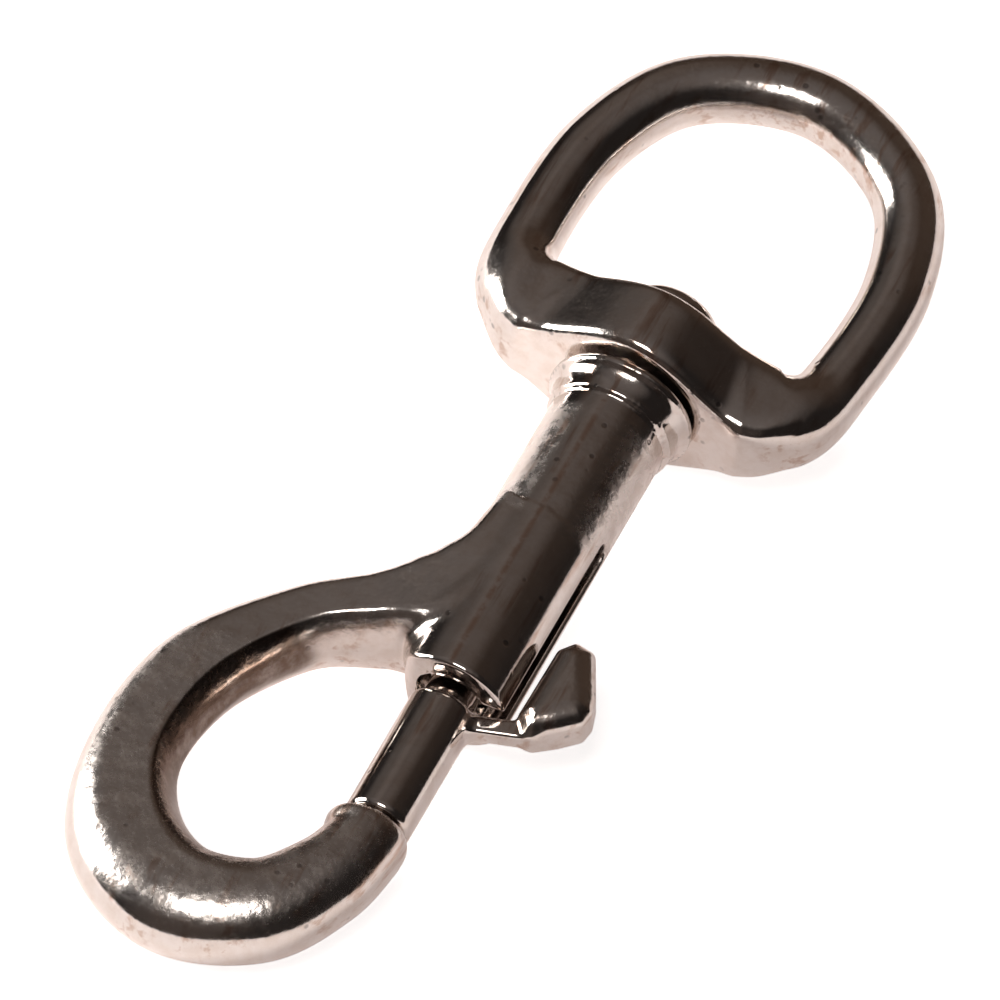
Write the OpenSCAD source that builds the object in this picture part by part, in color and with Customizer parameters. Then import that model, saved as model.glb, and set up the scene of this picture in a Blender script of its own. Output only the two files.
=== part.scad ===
// Swivel bolt snap: a cast hook with a spring-loaded bolt in its barrel and a
// swivel eye that turns on a post peened over inside the eye.
// The barrel, the bolt and the swivel all share the X axis. The eye is on the
// +X side, the hook opens in the XY plane and its thumb lever is on the -Y side.
// The origin is the centre of the eye's opening.

/* [Eye] */
// Width of the eye's opening
eye_width = 23; // [21:0.5:26]
// Length of the eye's opening along the swivel axis
eye_length = 24; // [22:0.2:27]
// Diameter of the eye's round ring section
ring_d = 5.6; // [5:0.1:6]
// Thickness of the eye's base bar along the swivel axis
bar_thick = 7; // [6:0.1:8]
// Height of the boss round the swivel post, from the axis to its crown
boss_height = 7; // [6:0.1:8]
// Width of the hump that the boss makes in the base bar
boss_width = 23; // [20:0.5:24]
// Angle that the eye has turned on its swivel, out of the hook's plane
eye_turn = 6; // [-90:1:90]
// Angle that the eye leans to the lever's side of the swivel axis
eye_lean = 3; // [0:0.5:3]

/* [Swivel] */
// Diameter of the swivel post
post_d = 5; // [4.4:0.1:5.6]
// Radial running clearance of the post in the eye
post_clearance = 0.08; // [0.05:0.01:0.1]
// Diameter of the peened head
head_d = 8.2; // [7.4:0.1:9]
// Height of the peened head's crown above its rim
head_crown = 1.9; // [1.4:0.1:2.4]
// Thickness of the peened head's rim
head_rim = 1; // [0.6:0.1:1.4]
// End play between the head and the eye
head_play = 0.45; // [0.4:0.05:0.6]
// Gap between the flange and the eye
flange_gap = 0.7; // [0.6:0.05:0.9]

/* [Barrel] */
// Outer diameter of the barrel
barrel_d = 10; // [9.4:0.1:11]
// Length of the barrel from its mouth to the bead under the flange
barrel_len = 30.3; // [29:0.1:34]
// Diameter of the bead where the barrel meets the flange
bead_d = 10.7; // [10.2:0.1:11.4]
// Diameter of the flange that the eye bears on
flange_d = 12.3; // [11.6:0.1:13]
// Length of the flare from the bead to the flange's rim
flare_len = 1.9; // [1.5:0.1:2.4]
// Thickness of the flange's rim
flange_rim = 0.7; // [0.4:0.1:1]
// Width of the slot that the lever runs in
slot_width = 2.2; // [2.1:0.05:2.6]
// Length of the slot from the mouth
slot_len = 19.3; // [18:0.1:21]

/* [Bolt] */
// Diameter of the bolt
bolt_d = 5.7; // [5.2:0.1:6]
// Radial running clearance of the bolt in its bore
bolt_clearance = 0.1; // [0.06:0.01:0.1]
// Length of the opening that the bolt closes, from the mouth to the nose
gate_len = 13.9; // [13:0.1:14.6]
// Gap between the bolt's end and the nose
nose_gap = 0.1; // [0.05:0.05:0.2]
// Distance that the bolt's shoulder stands out of the mouth
shoulder_out = 0.8; // [0.5:0.1:1]
// Diameter of the waist behind the shoulder
waist_d = 4.3; // [3.8:0.1:4.6]
// Length of the waist
waist_len = 3; // [2.4:0.1:3.4]
// Length of the guide behind the waist
guide_len = 5; // [4.5:0.1:5.5]
// Radius on the bolt's edges
bolt_edge = 0.6; // [0.3:0.1:0.8]
// Distance that the bolt draws back when the snap is opened
bolt_travel = 13.4; // [12.8:0.1:13.6]

/* [Lever] */
// Thickness of the lever arm across the slot
arm_thick = 1.6; // [1.4:0.05:1.6]
// Width of the lever arm along the bolt
arm_width = 1.8; // [1.6:0.1:2.2]
// Distance from the mouth back to the arm's root
arm_back = 1.9; // [1.7:0.1:2.4]
// Distance that the arm leans towards the eye on its way out
arm_lean = 1.5; // [1:0.1:2]
// Clearance between the thumb piece and the barrel
thumb_clearance = 0.9; // [0.7:0.1:1.4]
// Length of the thumb piece along the bolt
thumb_len = 9.8; // [8.8:0.1:10.4]
// Depth of the thumb piece away from the barrel
thumb_deep = 5.3; // [4.6:0.1:5.8]
// Height of the thumb piece
thumb_height = 4.6; // [4:0.1:5]

/* [Spring] */
// Diameter of the spring wire
wire_d = 0.55; // [0.45:0.05:0.6]
// Outer diameter of the spring
spring_d = 5.5; // [5.1:0.1:5.6]
// Number of open turns
spring_turns = 7; // [5:1:8]

/* [Hook] */
// Inner width of the hook from the bolt's axis to the back
hook_reach = 16.3; // [15.5:0.1:17.5]
// Depth of the bowl below the nose
bowl_depth = 7.8; // [7:0.1:8.6]
// Diameter of the nose where the bolt meets it
nose_d = 6.6; // [6.2:0.1:7]
// Half width of the hook's back
back_half = 3.9; // [3.5:0.1:4.3]
// Half width of the hook's bowl
bowl_half = 5; // [4.6:0.1:5.4]
// Half thickness of the hook's back
back_thick = 3.4; // [3:0.1:3.8]
// Half thickness of the hook's bowl
bowl_thick = 3.8; // [3.4:0.1:4.2]

/* [Hidden] */

$fn = 64;
// Small overlap that keeps joined shapes in one solid
bite = 0.05;

ring_r = ring_d / 2;
barrel_r = barrel_d / 2;
bead_r = bead_d / 2;
flange_r = flange_d / 2;
post_r = post_d / 2;
head_r = head_d / 2;
bolt_r = bolt_d / 2;
bore_r = bolt_r + bolt_clearance;
waist_r = waist_d / 2;
nose_r = nose_d / 2;

// Places along the swivel axis, from the eye to the hook
bar_rear = -eye_length / 2;
bar_front = bar_rear - bar_thick;
bar_middle = (bar_rear + bar_front) / 2;
head_face = bar_rear + head_play;
flange_face = bar_front - flange_gap;
rim_start = flange_face - flange_rim;
bead_x = rim_start - flare_len;
mouth = bead_x - barrel_len;
nose_x = mouth - gate_len;
shoulder_x = mouth - shoulder_out;
guide_end = shoulder_x + waist_len + guide_len;

// The bore is as deep as the guide's travel and the fully pressed spring need
closed_turns = 2;
spring_spare = 1.2;
spring_block = wire_d * (spring_turns + closed_turns) + spring_spare;
bore_end = guide_end + bolt_travel + spring_block;

// Turns a solid made along +Z so that it lies along +X from the given place
module along_x(x) translate([x, 0, 0]) rotate([0, 90, 0]) children();

// Points of a quarter ellipse round a centre, from one angle to another
function arc(centre, rx, ry, from, to, steps) =
    [for (i = [0 : steps])
        let (a = from + (to - from) * i / steps)
        [centre[0] + rx * cos(a), centre[1] + ry * sin(a)]];

// Point t of the way from p1 to p2 on a curve that also heeds p0 and p3
function curve_point(p0, p1, p2, p3, t) =
    0.5 * (2 * p1 + (p2 - p0) * t
           + (2 * p0 - 5 * p1 + 4 * p2 - p3) * t * t
           + (3 * p1 - p0 - 3 * p2 + p3) * t * t * t);

// Smooth path through all the stations, with a number of steps between two
function smooth_path(stations, steps) =
    let (last = len(stations) - 1,
         before = 2 * stations[0] - stations[1],
         after = 2 * stations[last] - stations[last - 1])
    concat(
        [for (i = [0 : last - 1], k = [0 : steps - 1])
            curve_point(i == 0 ? before : stations[i - 1],
                        stations[i],
                        stations[i + 1],
                        i + 1 == last ? after : stations[i + 2],
                        k / steps)],
        [stations[last]]);

// Direction of a path in the XY plane at its point i, as a unit vector
function heading(path, i) =
    let (a = path[max(i - 1, 0)],
         b = path[min(i + 1, len(path) - 1)],
         d = [b[0] - a[0], b[1] - a[1]])
    d / norm(d);

function signed_pow(v, p) = sign(v) * pow(abs(v), p);

// The least flat that a section has on its top and bottom
least_flat = 0.05;

// One cross-section of a casting, at a station [x, y, half width, half height,
// left squareness, right squareness, left flat, right flat], seen along the path.
// A flat is how far the top and bottom run level from the middle, and from there
// the side rounds off: a squareness of 2 is an ellipse, less is closer to a
// chamfer and more is closer to a box.
function section(s, dir, steps) =
    [for (quarter = [0 : 3], i = [0 : steps - quarter % 2])
        let (a = 90 * (quarter + i / steps),
             left = quarter == 0 || quarter == 3,
             power = 2 / (left ? s[4] : s[5]),
             flat = max(left ? s[6] : s[7], least_flat),
             reach = flat + (s[2] - flat) * pow(abs(cos(a)), power),
             u = left ? reach : -reach,
             z = s[3] * signed_pow(sin(a), power))
        [s[0] - dir[1] * u, s[1] + dir[0] * u, z]];

// Solid through a list of rings that have the same number of points
module skin(rings) {
    sides = len(rings[0]);
    last = len(rings) - 1;
    walls = [for (i = [0 : last - 1], k = [0 : sides - 1])
                let (a = i * sides + k,
                     b = i * sides + (k + 1) % sides)
                each [[a, b + sides, b], [a, a + sides, b + sides]]];
    start_cap = [[for (k = [0 : sides - 1]) k]];
    end_cap = [[for (k = [sides - 1 : -1 : 0]) last * sides + k]];
    polyhedron([for (ring = rings) each ring], concat(walls, start_cap, end_cap), convexity = 8);
}

// Rings of a casting that is swept through its stations
function swept_rings(stations, steps, corner_steps) =
    let (path = smooth_path(stations, steps))
    [for (i = [0 : len(path) - 1]) section(path[i], heading(path, i), corner_steps)];

// ------------------------------------------------------------ hook body

// Radius on the barrel's mouth and on the flange's rim
rim_edge = 0.2;
// Radius of the mouth's corner on the hook's side
mouth_round = 3.4;
// Length of the bead's own cylinder
bead_len = 0.4;
// Radius on the nose's end and the lip that it has towards the hook's opening
nose_edge = 0.6;
nose_lip = 0.5;
hook_steps = 5;
hook_corner_steps = 5;

// The hook leaves the barrel's side, rounds the back and the bowl and ends in
// the nose, which faces the mouth on the bolt's axis
back_y = hook_reach + back_half;
bowl_x = nose_x - bowl_depth - bowl_half;
tip_x = nose_x - nose_edge;
hook_stations = [
    [mouth + 7.8, 0.8, 5.4, 4.2, 2, 2.4, 0, 0],
    [mouth + 6.9, 4.6, 4.5, 3.9, 1.7, 2.4, 0, 0.5],
    [mouth + 5.1, 8.5, 3, 3.5, 1.6, 2.4, 0, 0.5],
    [mouth + 1.8, 13.6, 3, 3.3, 1.6, 2.4, 0.3, 0.5],
    [mouth - 5.9, back_y - 1.2, back_half - 0.1, back_thick, 1.6, 2.4, 1, 0.5],
    [mouth - 15.3, back_y, back_half, back_thick, 1.6, 2.4, 1.2, 0.5],
    [bowl_x + 3.9, back_y - 2.8, bowl_half - 0.2, (back_thick + bowl_thick) / 2, 1.7, 2.2, 1.5, 0.5],
    [bowl_x, 11.5, bowl_half, bowl_thick, 1.8, 2.2, 1.2, 0],
    [bowl_x + 1.5, 5, bowl_half - 0.6, bowl_thick, 1.9, 2.1, 0.8, 0],
    [tip_x - 6, 1.4, nose_r + 0.5, nose_r + 0.3, 2, 2, 0.4, 0],
    [tip_x - 1.8, 0.1, nose_r + 0.1, nose_r + 0.1, 2, 2, 0, 0],
    [tip_x, nose_lip / 2, nose_r + nose_lip / 2, nose_r, 2, 2, 0, 0]
];

// Rings that round the nose's end over
nose_rings = [for (a = [30, 60, 90])
    let (r = nose_r - nose_edge * (1 - cos(a)),
         end = [tip_x + nose_edge * sin(a), nose_lip / 2, r + nose_lip / 2, r, 2, 2, 0, 0])
    section(end, [1, 0], hook_corner_steps)];

module hook_arm()
    skin(concat(swept_rings(hook_stations, hook_steps, hook_corner_steps), nose_rings));

// The barrel, its bead and the flared flange, turned round the axis
module turned_barrel() {
    flare_start = bead_x - mouth;
    flange_top = flange_face - mouth;
    along_x(mouth) rotate_extrude() polygon(concat(
        [[0, 0]],
        arc([barrel_r - rim_edge, rim_edge], rim_edge, rim_edge, -90, 0, 3),
        [[barrel_r, flare_start - bead_len],
         [bead_r, flare_start - bead_len / 2]],
        arc([flange_r, flare_start], flange_r - bead_r, flare_len, 180, 90, 8),
        arc([flange_r - rim_edge, flange_top - rim_edge], rim_edge, rim_edge, 0, 90, 3),
        [[0, flange_top]]
    ));
}

// The barrel, whose mouth is rounded over on the side where the hook's inner
// wall runs in
module barrel() {
    start_y = barrel_r - mouth_round;
    difference() {
        turned_barrel();
        difference() {
            translate([mouth - 1, start_y, -barrel_r - 1])
                cube([mouth_round + 1, mouth_round + 1, 2 * barrel_r + 2]);
            translate([mouth + mouth_round, start_y, -barrel_r - 2])
                cylinder(r = mouth_round, h = 2 * barrel_r + 4);
        }
    }
}

// The swivel post and the head that is peened over inside the eye
module post() {
    stem = head_face - flange_face;
    along_x(flange_face - bite) cylinder(r = post_r, h = stem + 2 * bite);
    along_x(head_face) rotate_extrude() polygon(concat(
        [[0, 0], [head_r - rim_edge, 0], [head_r, rim_edge]],
        arc([0, head_rim], head_r, head_crown, 0, 90, 8)
    ));
}

// The bolt's blind bore and the slot that its lever runs in
module bolt_way() {
    reach = barrel_r + 1;
    slot_end = slot_len - slot_width / 2;
    along_x(mouth - 1) cylinder(r = bore_r, h = bore_end - mouth + 1);
    translate([mouth - 1, -reach, -slot_width / 2]) cube([slot_end + 1, reach, slot_width]);
    translate([mouth + slot_end, 0, 0]) rotate([90, 0, 0]) cylinder(d = slot_width, h = reach);
}

module hook_body() {
    color("silver") difference() {
        union() {
            barrel();
            post();
            hook_arm();
        }
        bolt_way();
    }
}

// ------------------------------------------------------------ swivel eye

eye_steps = 6;
eye_corner_steps = 4;
bar_steps = 32;
bar_corner_steps = 6;

side_y = eye_width / 2 + ring_r;
far_x = eye_length / 2 + ring_r;
// Half of the ring, from its far end to the middle of the base bar
half_ring = [
    [far_x, 0, ring_r, ring_r, 2, 2, 0, 0],
    [far_x * 0.726, side_y * 0.668, ring_r, ring_r, 2, 2, 0, 0],
    [far_x * 0.124, side_y * 0.952, ring_r, ring_r, 2, 2, 0, 0],
    [-far_x * 0.61, side_y * 0.967, ring_r, ring_r, 2.5, 2, 0, 0],
    [bar_rear - 1.9, side_y * 0.875, ring_r + 0.3, ring_r + 0.25, 5, 3, 0, 0],
    [bar_middle, side_y * 0.62, bar_thick / 2 - 0.1, ring_r - 0.1, 6, 6, 0, 0]
];

// The same station on the other side of the swivel axis
function mirrored(s) = [s[0], -s[1], s[2], s[3], s[5], s[4], s[7], s[6]];

eye_stations = concat([for (i = [len(half_ring) - 1 : -1 : 1]) mirrored(half_ring[i])], half_ring);

// Height of the base bar above the axis, which rises to the boss
function hump_z(y) =
    ring_r + (boss_height - ring_r) * (1 + cos(360 * y / boss_width)) / 2;

// The base bar runs across the axis with a nearly square section, and its ends
// round off and turn back into the ring
bar_square = 8;
bar_end = side_y * 0.88;
end_turn = 0.9;
end_taper = 0.8;
// The bar hangs a little below the ring's own plane and is that much higher
bar_drop = 0.45;
bar_extra = 0.4;

function bar_section(t) =
    let (y = bar_end * t,
         fade = pow(abs(t), 8),
         square = bar_square + (5 - bar_square) * fade,
         z = abs(y) < boss_width / 2 ? hump_z(y) : ring_r,
         height = z + bar_extra * (1 - fade) - 0.3 * fade,
         s = [bar_middle + end_turn * fade, y, bar_thick / 2 - end_taper * fade, height,
              square, square, 0, 0])
    [for (p = section(s, [0, 1], bar_corner_steps))
        [p[0], p[1], p[2] - bar_drop * (1 - fade)]];

module base_bar() {
    skin([for (i = [0 : bar_steps]) bar_section(2 * i / bar_steps - 1)]);
}

// The eye as it stands, turned and leaning, with its hole true to the axis
module swivel_eye() {
    color("gainsboro") difference() {
        rotate([eye_turn, 0, 0])
            translate([bar_middle, 0, 0]) rotate([0, 0, -eye_lean]) translate([-bar_middle, 0, 0])
                union() {
                    skin(swept_rings(eye_stations, eye_steps, eye_corner_steps));
                    base_bar();
                }
        along_x(bar_front - 1) cylinder(r = post_r + post_clearance, h = bar_thick + 2);
    }
}

// ----------------------------------------------------------- spring bolt

// The shoulder's radius is held within the step down to the waist
shoulder_edge = min(bolt_edge, bolt_r - waist_r);
// Radius on the thumb piece's upright edges
thumb_round = 0.6;
thumb_y = barrel_r + thumb_clearance;
arm_root = [mouth - arm_back, -bolt_r / 2];
arm_tip = [mouth - arm_back + arm_lean, -thumb_y - thumb_deep / 4];
thumb_x = arm_tip[0] - 0.65;

// The bolt with its shoulder, waist and guide, turned round the axis
module bolt_rod() {
    tip = nose_x + nose_gap;
    shoulder = shoulder_x - tip;
    guide = shoulder + waist_len;
    end = guide_end - tip;
    along_x(tip) rotate_extrude() polygon(concat(
        [[0, 0]],
        arc([bolt_r - bolt_edge, bolt_edge], bolt_edge, bolt_edge, -90, 0, 5),
        arc([bolt_r - shoulder_edge, shoulder - shoulder_edge], shoulder_edge, shoulder_edge, 0, 90, 5),
        [[waist_r, shoulder],
         [waist_r, guide],
         [bolt_r - rim_edge, guide],
         [bolt_r, guide + rim_edge],
         [bolt_r, end - rim_edge],
         [bolt_r - rim_edge, end],
         [0, end]]
    ));
}

module lever_arm() {
    hull() for (p = [arm_root, arm_tip])
        translate([p[0], p[1], -arm_thick / 2]) cylinder(d = arm_width, h = arm_thick, $fn = 24);
}

// Kite-shaped outline of the thumb piece, as shares of its length and depth
thumb_shares = [[0, 0.22], [0.13, 0], [0.9, 0.03], [1, 0.2], [0.97, 0.48],
                [0.55, 0.9], [0.38, 1], [0.28, 0.97], [0.13, 0.62]];
thumb_outline = [for (p = thumb_shares)
    [thumb_x + p[0] * thumb_len, -thumb_y - p[1] * thumb_deep]];

// Slab of the thumb piece, drawn in by an inset, up to a share of its height
module thumb_slab(inset, share) {
    h = thumb_height * share;
    translate([inset / 2, 0, -h / 2]) linear_extrude(h)
        offset(r = thumb_round, $fn = 24) offset(delta = -thumb_round - inset) polygon(thumb_outline);
}

module thumb_piece() {
    hull() {
        thumb_slab(0, 0.4);
        thumb_slab(0.2, 0.8);
        thumb_slab(0.7, 1);
    }
}

module spring_bolt() {
    color("silver") union() {
        bolt_rod();
        lever_arm();
        thumb_piece();
    }
}

// ---------------------------------------------------------------- spring

wire_r = wire_d / 2;
coil_r = spring_d / 2 - wire_r;
// Gap between the spring's ends and what they bear on
spring_gap = 0.05;
// Pitch of the closed turn at each end
closed_pitch = wire_d + 0.05;
coil_steps = 18;
wire_sides = 6;
spring_start = guide_end + spring_gap + wire_r;
spring_len = bore_end - guide_end - 2 * spring_gap - wire_d;
open_pitch = (spring_len - closed_turns * closed_pitch) / spring_turns;

// Distance of the wire along the spring after a number of turns
function rise(turns) =
    closed_pitch * (min(turns, 1) + max(turns - spring_turns - 1, 0))
    + open_pitch * min(max(turns - 1, 0), spring_turns);

module spring() {
    rings = [for (i = [0 : coil_steps * (spring_turns + closed_turns)])
        let (turns = i / coil_steps,
             a = 360 * turns,
             x = spring_start + rise(turns))
        [for (k = [0 : wire_sides - 1])
            let (b = 360 * k / wire_sides,
                 r = coil_r + wire_r * cos(b))
            [x - wire_r * sin(b), r * cos(a), r * sin(a)]]];
    color("gray") skin(rings);
}

hook_body();
swivel_eye();
spring_bolt();
spring();
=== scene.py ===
import math
import bpy
import numpy as np
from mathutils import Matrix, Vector


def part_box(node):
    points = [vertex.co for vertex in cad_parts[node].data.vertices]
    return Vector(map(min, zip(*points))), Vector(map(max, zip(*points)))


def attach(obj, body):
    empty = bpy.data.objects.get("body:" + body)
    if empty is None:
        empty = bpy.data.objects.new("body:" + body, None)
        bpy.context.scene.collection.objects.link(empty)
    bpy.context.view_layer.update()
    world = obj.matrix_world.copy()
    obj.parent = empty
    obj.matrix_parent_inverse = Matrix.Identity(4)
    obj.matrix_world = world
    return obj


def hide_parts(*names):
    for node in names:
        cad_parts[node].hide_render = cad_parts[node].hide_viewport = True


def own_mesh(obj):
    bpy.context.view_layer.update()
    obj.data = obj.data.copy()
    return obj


# Dresses the swivel bolt snap: every casting is meshed finely from its own distance
# field, so that its reflections run smoothly, and gets worn nickel plating.
# Forms are worked out in millimetres in the part's own frame and stored in metres.

MM = 0.001
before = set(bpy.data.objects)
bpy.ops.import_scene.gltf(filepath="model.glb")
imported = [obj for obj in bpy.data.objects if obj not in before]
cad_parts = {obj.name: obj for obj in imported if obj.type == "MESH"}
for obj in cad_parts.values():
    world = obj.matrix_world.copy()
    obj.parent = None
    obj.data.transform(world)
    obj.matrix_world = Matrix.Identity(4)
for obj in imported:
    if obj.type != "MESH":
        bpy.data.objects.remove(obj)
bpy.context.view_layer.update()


# ------------------------------------------------------------------ sizes
# Millimetres, as in the part's source. X runs along the swivel axis, and the eye lies
# round the origin, with the hook towards -X.
EYE_TURN = math.radians(6)
EYE_LEAN = math.radians(3)
RING_R = 2.8
SIDE_Y = 14.3
FAR_X = 14.8
BAR_REAR = -12.0
BAR_THICK = 7.0
BOSS_HEIGHT = 7.0
BOSS_WIDTH = 23.0
BAR_FRONT = BAR_REAR - BAR_THICK
BAR_MIDDLE = BAR_REAR - BAR_THICK / 2
POST_R = 2.5
POST_CLEARANCE = 0.08
HEAD_R, HEAD_RIM, HEAD_CROWN = 4.1, 1.0, 1.9
HEAD_GAP, FLANGE_GAP = 0.45, 0.7
HEAD_FACE = BAR_REAR + HEAD_GAP
BARREL_R, BEAD_R, FLANGE_R = 5.0, 5.35, 6.15
FLARE_LEN, FLANGE_RIM, BEAD_LEN = 1.9, 0.7, 0.4
RIM_EDGE = 0.25
FLANGE_FACE = BAR_FRONT - FLANGE_GAP
BEAD_X = FLANGE_FACE - FLANGE_RIM - FLARE_LEN
BARREL_LEN = 30.3
MOUTH = BEAD_X - BARREL_LEN
BOLT_R, WAIST_R = 2.85, 2.15
BORE_CLEARANCE = 0.1
BORE_R = BOLT_R + BORE_CLEARANCE
GATE_LEN, SHOULDER_OUT, WAIST_LEN, GUIDE_LEN = 13.9, 0.8, 3.0, 5.0
BOLT_TRAVEL = 13.4
NOSE_X = MOUTH - GATE_LEN
SHOULDER_X = MOUTH - SHOULDER_OUT
GUIDE_START = SHOULDER_X + WAIST_LEN
GUIDE_END = GUIDE_START + GUIDE_LEN
WIRE_R = 0.275
COIL_R = 2.75 - WIRE_R
SPRING_TURNS = 7
SPRING_SPARE = 1.2
BORE_START = NOSE_X + 1
BORE_END = GUIDE_END + BOLT_TRAVEL + 2 * WIRE_R * (SPRING_TURNS + 2) + SPRING_SPARE
SLOT_HALF, SLOT_LEN = 1.1, 19.3
SLOT_START = MOUTH - 2
NOSE_R, NOSE_EDGE, NOSE_LIP = 3.3, 0.6, 0.5
TIP_X = NOSE_X - NOSE_EDGE
BACK_HALF, BACK_THICK = 3.9, 3.4
BOWL_HALF, BOWL_THICK = 5.0, 3.8
HOOK_INNER_Y, BOWL_REACH = 16.3, 7.8
BACK_Y = HOOK_INNER_Y + BACK_HALF
BOWL_X = NOSE_X - BOWL_REACH - BOWL_HALF
MOUTH_ROUND = 3.4
CUT_EDGE = 0.35


# ------------------------------------------------------ distance fields
LEAST_FLAT = 0.05
PATH_STEPS = 24
END_REACH = 0.3
POINTS_AT_ONCE = 60000


def smooth_min(a, b, k):
    """Union of two fields with a fillet of about k at their crease."""
    h = np.maximum(k - np.abs(a - b), 0) / k
    return np.minimum(a, b) - h * h * k / 4


def smooth_max(a, b, k):
    """Cut of one field by another with a rounding of about k on the edge."""
    return -smooth_min(-a, -b, k)


def polygon_field(px, py, outline):
    """Signed distance from points to a closed outline in a plane."""
    outline = np.asarray(outline, float)
    nearest = np.full(px.shape, 1e9)
    inside = np.zeros(px.shape, bool)
    for (ax, ay), (bx, by) in zip(outline, np.roll(outline, -1, axis=0)):
        ex, ey = bx - ax, by - ay
        wx, wy = px - ax, py - ay
        t = np.clip((wx * ex + wy * ey) / (ex * ex + ey * ey), 0, 1)
        nearest = np.minimum(nearest, (wx - ex * t) ** 2 + (wy - ey * t) ** 2)
        if ey != 0:
            crosses = (ay > py) != (by > py)
            inside ^= crosses & (px < (py - ay) / ey * ex + ax)
    return np.where(inside, -1, 1) * np.sqrt(nearest)


def arc(cx, cy, rx, ry, start, end, steps):
    """Points along part of an ellipse, from one angle to another in degrees."""
    return [(cx + rx * math.cos(a), cy + ry * math.sin(a))
            for a in np.radians(np.linspace(start, end, steps + 1))]


def turned_field(p, outline):
    """Field of a solid turned round the X axis, from its outline of (x, radius)."""
    return polygon_field(p[:, 0], np.hypot(p[:, 1], p[:, 2]), outline)


def smooth_path(stations, steps):
    """Smooth curve through stations of any length, with steps points between two."""
    s = np.asarray(stations, float)
    s = np.vstack([2 * s[0] - s[1], s, 2 * s[-1] - s[-2]])
    points = []
    for p0, p1, p2, p3 in zip(s, s[1:], s[2:], s[3:]):
        for t in np.arange(steps) / steps:
            points.append(0.5 * (2 * p1 + (p2 - p0) * t + (2 * p0 - 5 * p1 + 4 * p2 - p3) * t * t
                                 + (3 * p1 - p0 - 3 * p2 + p3) * t ** 3))
    points.append(s[-2])
    return np.array(points)


def section_field(u, z, half, height, squareness, flat):
    """Field of one side of a section. u is the distance out from its middle and z the
    height. The top runs level as far as flat and rounds off from there: a squareness
    of 2 is an ellipse, less is closer to a chamfer and more is closer to a box."""
    reach = half - flat
    du = np.maximum(u - flat, 0) / reach
    dz = np.abs(z) / height
    g = np.maximum((du ** squareness + dz ** squareness) ** (1 / squareness), 1e-6)
    steep = np.hypot(du ** (squareness - 1) / reach, dz ** (squareness - 1) / height)
    slope = g ** (1 - squareness) * steep
    return (g - 1) / np.maximum(slope, 0.5 / np.maximum(reach, height))


def swept_field(p, stations):
    """Field of a casting swept in the XY plane through stations of [x, y, half width,
    half height, left squareness, right squareness, left flat, right flat]."""
    path = smooth_path(stations, PATH_STEPS)
    tangent = np.gradient(path[:, :2], axis=0)
    tangent /= np.linalg.norm(tangent, axis=1)[:, None]
    result = np.empty(len(p))
    for start in range(0, len(p), POINTS_AT_ONCE):
        q = p[start:start + POINTS_AT_ONCE]
        d2 = (q[:, 0:1] - path[:, 0]) ** 2 + (q[:, 1:2] - path[:, 1]) ** 2
        i = np.clip(d2.argmin(1), 1, len(path) - 2)
        offset = q[:, :2] - path[i, :2]
        step = np.where((offset * tangent[i]).sum(1) > 0, 1, -1)
        link = path[i + step, :2] - path[i, :2]
        w = np.clip((offset * link).sum(1) / (link * link).sum(1), 0, 1)[:, None]
        s = path[i] * (1 - w) + path[i + step] * w
        t = tangent[i] * (1 - w) + tangent[i + step] * w
        t /= np.linalg.norm(t, axis=1)[:, None]
        offset = q[:, :2] - s[:, :2]
        u = offset[:, 1] * t[:, 0] - offset[:, 0] * t[:, 1]
        left_flat, right_flat = np.maximum(s[:, 6:8], LEAST_FLAT).T
        left = section_field(u, q[:, 2], s[:, 2], s[:, 3], s[:, 4], left_flat)
        right = section_field(-u, q[:, 2], s[:, 2], s[:, 3], s[:, 5], right_flat)
        side = np.where(u > 0, left, right)
        past_end = np.abs((offset * t).sum(1))
        beyond = np.hypot(np.maximum(side, 0), past_end)
        result[start:start + POINTS_AT_ONCE] = np.where(past_end > END_REACH, beyond, side)
    return result


# ----------------------------------------------------------- hook body
HOOK_STATIONS = [
    [MOUTH + 17.2, 0, 4.4, 4.85, 2, 2.4, 0, 2.6],
    [MOUTH + 12, 0.9, 4.5, 4.85, 2, 2.4, 0, 2.6],
    [MOUTH + 8.9, 2.8, 4.6, 4.7, 2, 2.3, 0.5, 2.4],
    [MOUTH + 7, 5.3, 4.1, 4.4, 2, 2.1, 2.2, 2],
    [MOUTH + 5.1, 8.5, 3.1, 3.85, 1.7, 2, 1.6, 1.4],
    [MOUTH + 1.8, 13.6, 3, 3.45, 1.5, 2, 1.5, 1],
    [MOUTH - 5.9, BACK_Y - 1.2, BACK_HALF - 0.1, BACK_THICK, 1.35, 2, 1.9, 1.2],
    [MOUTH - 15.3, BACK_Y, BACK_HALF, BACK_THICK, 1.3, 2, 2, 1.4],
    [BOWL_X + 3.9, BACK_Y - 2.8, BOWL_HALF - 0.2, (BACK_THICK + BOWL_THICK) / 2,
     1.4, 1.9, 2.2, 1.4],
    [BOWL_X, 11.5, BOWL_HALF, BOWL_THICK, 1.6, 1.9, 1.6, 0.6],
    [BOWL_X + 1.5, 5, BOWL_HALF - 0.6, BOWL_THICK, 1.8, 2, 0.6, 0.2],
    [TIP_X - 6, 1.4, NOSE_R + 0.5, NOSE_R + 0.3, 2, 2, 0, 0],
    [TIP_X - 1.8, 0.1, NOSE_R + 0.1, NOSE_R + 0.1, 2, 2, 0, 0],
    [TIP_X, NOSE_LIP / 2, NOSE_R + NOSE_LIP / 2, NOSE_R, 2, 2, 0, 0],
    [TIP_X + 2, NOSE_LIP / 2, NOSE_R + NOSE_LIP / 2, NOSE_R, 2, 2, 0, 0],
]
# The fillet between arm and barrel narrows to a mere edge along the web on the barrel
HOOK_FILLET, WEB_FILLET = 1.2, 0.4
FILLET_END, FILLET_FADE, FILLET_RISE = MOUTH + 9.5, 4.0, 2
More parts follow.
